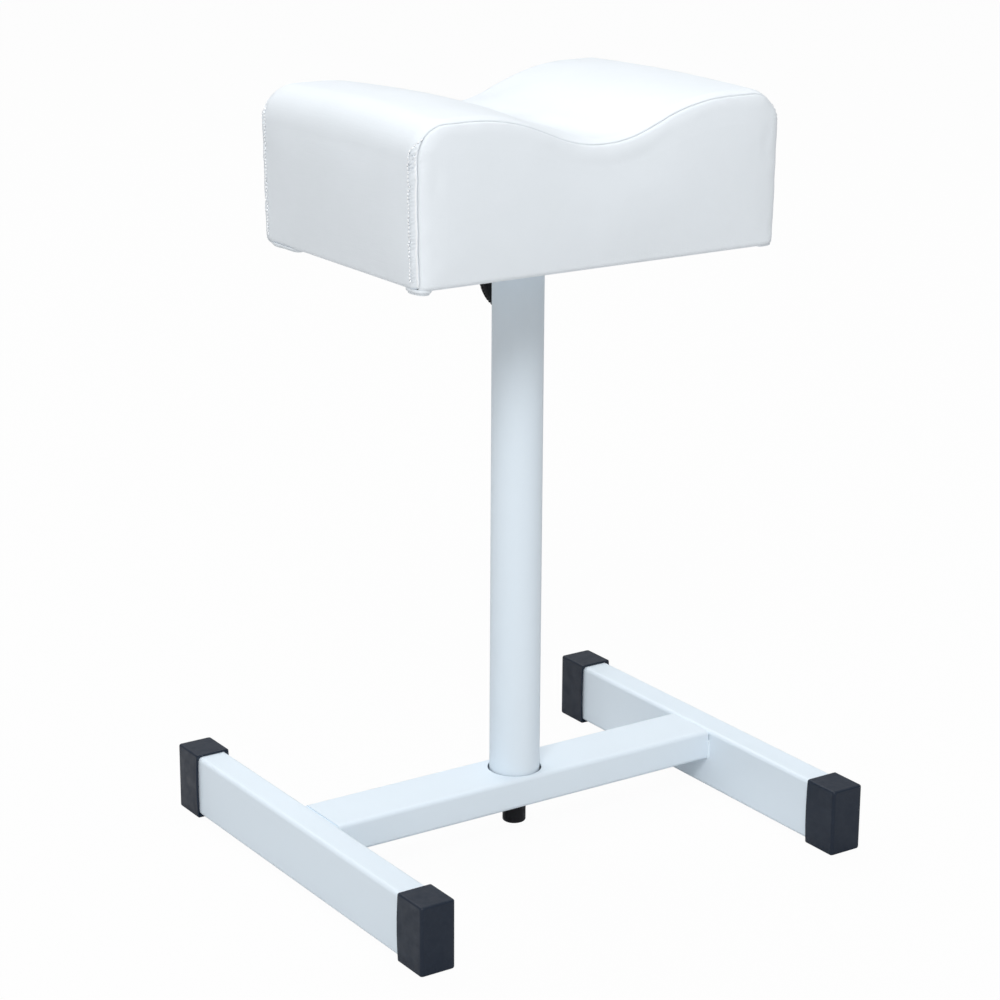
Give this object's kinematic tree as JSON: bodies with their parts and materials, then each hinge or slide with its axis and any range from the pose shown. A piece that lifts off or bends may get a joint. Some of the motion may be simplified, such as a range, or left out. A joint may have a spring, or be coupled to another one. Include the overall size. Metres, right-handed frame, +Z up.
{
  "type": "pedicure footrest",
  "caption": "Free-standing footrest: welded H base with end caps, telescopic post with a hand clamp, and a swivelling saddle cushion in white artificial leather.",
  "frame": {"origin": "on the floor, on the axis of the post", "axes": "+X along the crossbar to the right in the picture, +Y along the foot bars away from the viewer, +Z up the post"},
  "size_m": [0.409, 0.369, 0.5959],
  "materials": {
    "white_metal": "satin",
    "bare_steel": "satin",
    "zinc_steel": "satin",
    "brass_pad": "satin",
    "black_cap": "satin",
    "black_plastic": "satin",
    "black_bush": "matte",
    "plywood": "matte",
    "foam": "matte",
    "white_vinyl": "satin"
  },
  "bodies": {
    "base": {"foot_bar_left": "white_metal", "foot_bar_right": "white_metal", "crossbar": "white_metal", "weld_left": "white_metal", "weld_right": "white_metal", "end_cap_front_left": "black_cap", "end_cap_front_right": "black_cap", "end_cap_back_left": "black_cap", "end_cap_back_right": "black_cap", "post_tube": "white_metal", "post_foot_plug": "bare_steel", "base_bolt": "zinc_steel", "base_washer": "zinc_steel", "base_nut": "zinc_steel", "base_nut_cap": "black_plastic", "clamp_nut": "white_metal"},
    "bush": {"post_bush": "black_bush"},
    "head": {"inner_tube": "white_metal", "tube_glide": "black_bush", "plate_weld": "white_metal", "mounting_plate": "white_metal", "plate_screws": "zinc_steel", "cushion_board": "plywood", "cushion_foam": "foam", "cover_strip": "white_vinyl", "cover_front_panel": "white_vinyl", "cover_back_panel": "white_vinyl"},
    "clamp_pad": {"clamp_pad": "brass_pad"},
    "clamp_knob": {"clamp_stud": "zinc_steel", "clamp_knob": "black_plastic"}
  },
  "joints": [
    {"name": "swivel", "type": "hinge", "parent": "base", "child": "bush", "pos_m": [0, 0, 0.4685], "axis": [0, 0, 1], "continuous": true},
    {"name": "height", "type": "slide", "parent": "bush", "child": "head", "axis": [0, 0, 1], "range_m": [0, 0.22]},
    {"name": "clamp_travel", "type": "slide", "parent": "base", "child": "clamp_pad", "axis": [0.4617, 0.887, 0], "range_m": [0, 0.003]},
    {"name": "clamp_turn", "type": "hinge", "parent": "clamp_pad", "child": "clamp_knob", "pos_m": [0, 0, 0.438], "axis": [0.4617, 0.887, 0], "range_deg": [0, 720]}
  ],
  "couplings": [
    {"joint": "clamp_turn", "follows": "clamp_travel", "rad_per_m": 4188.8}
  ]
}
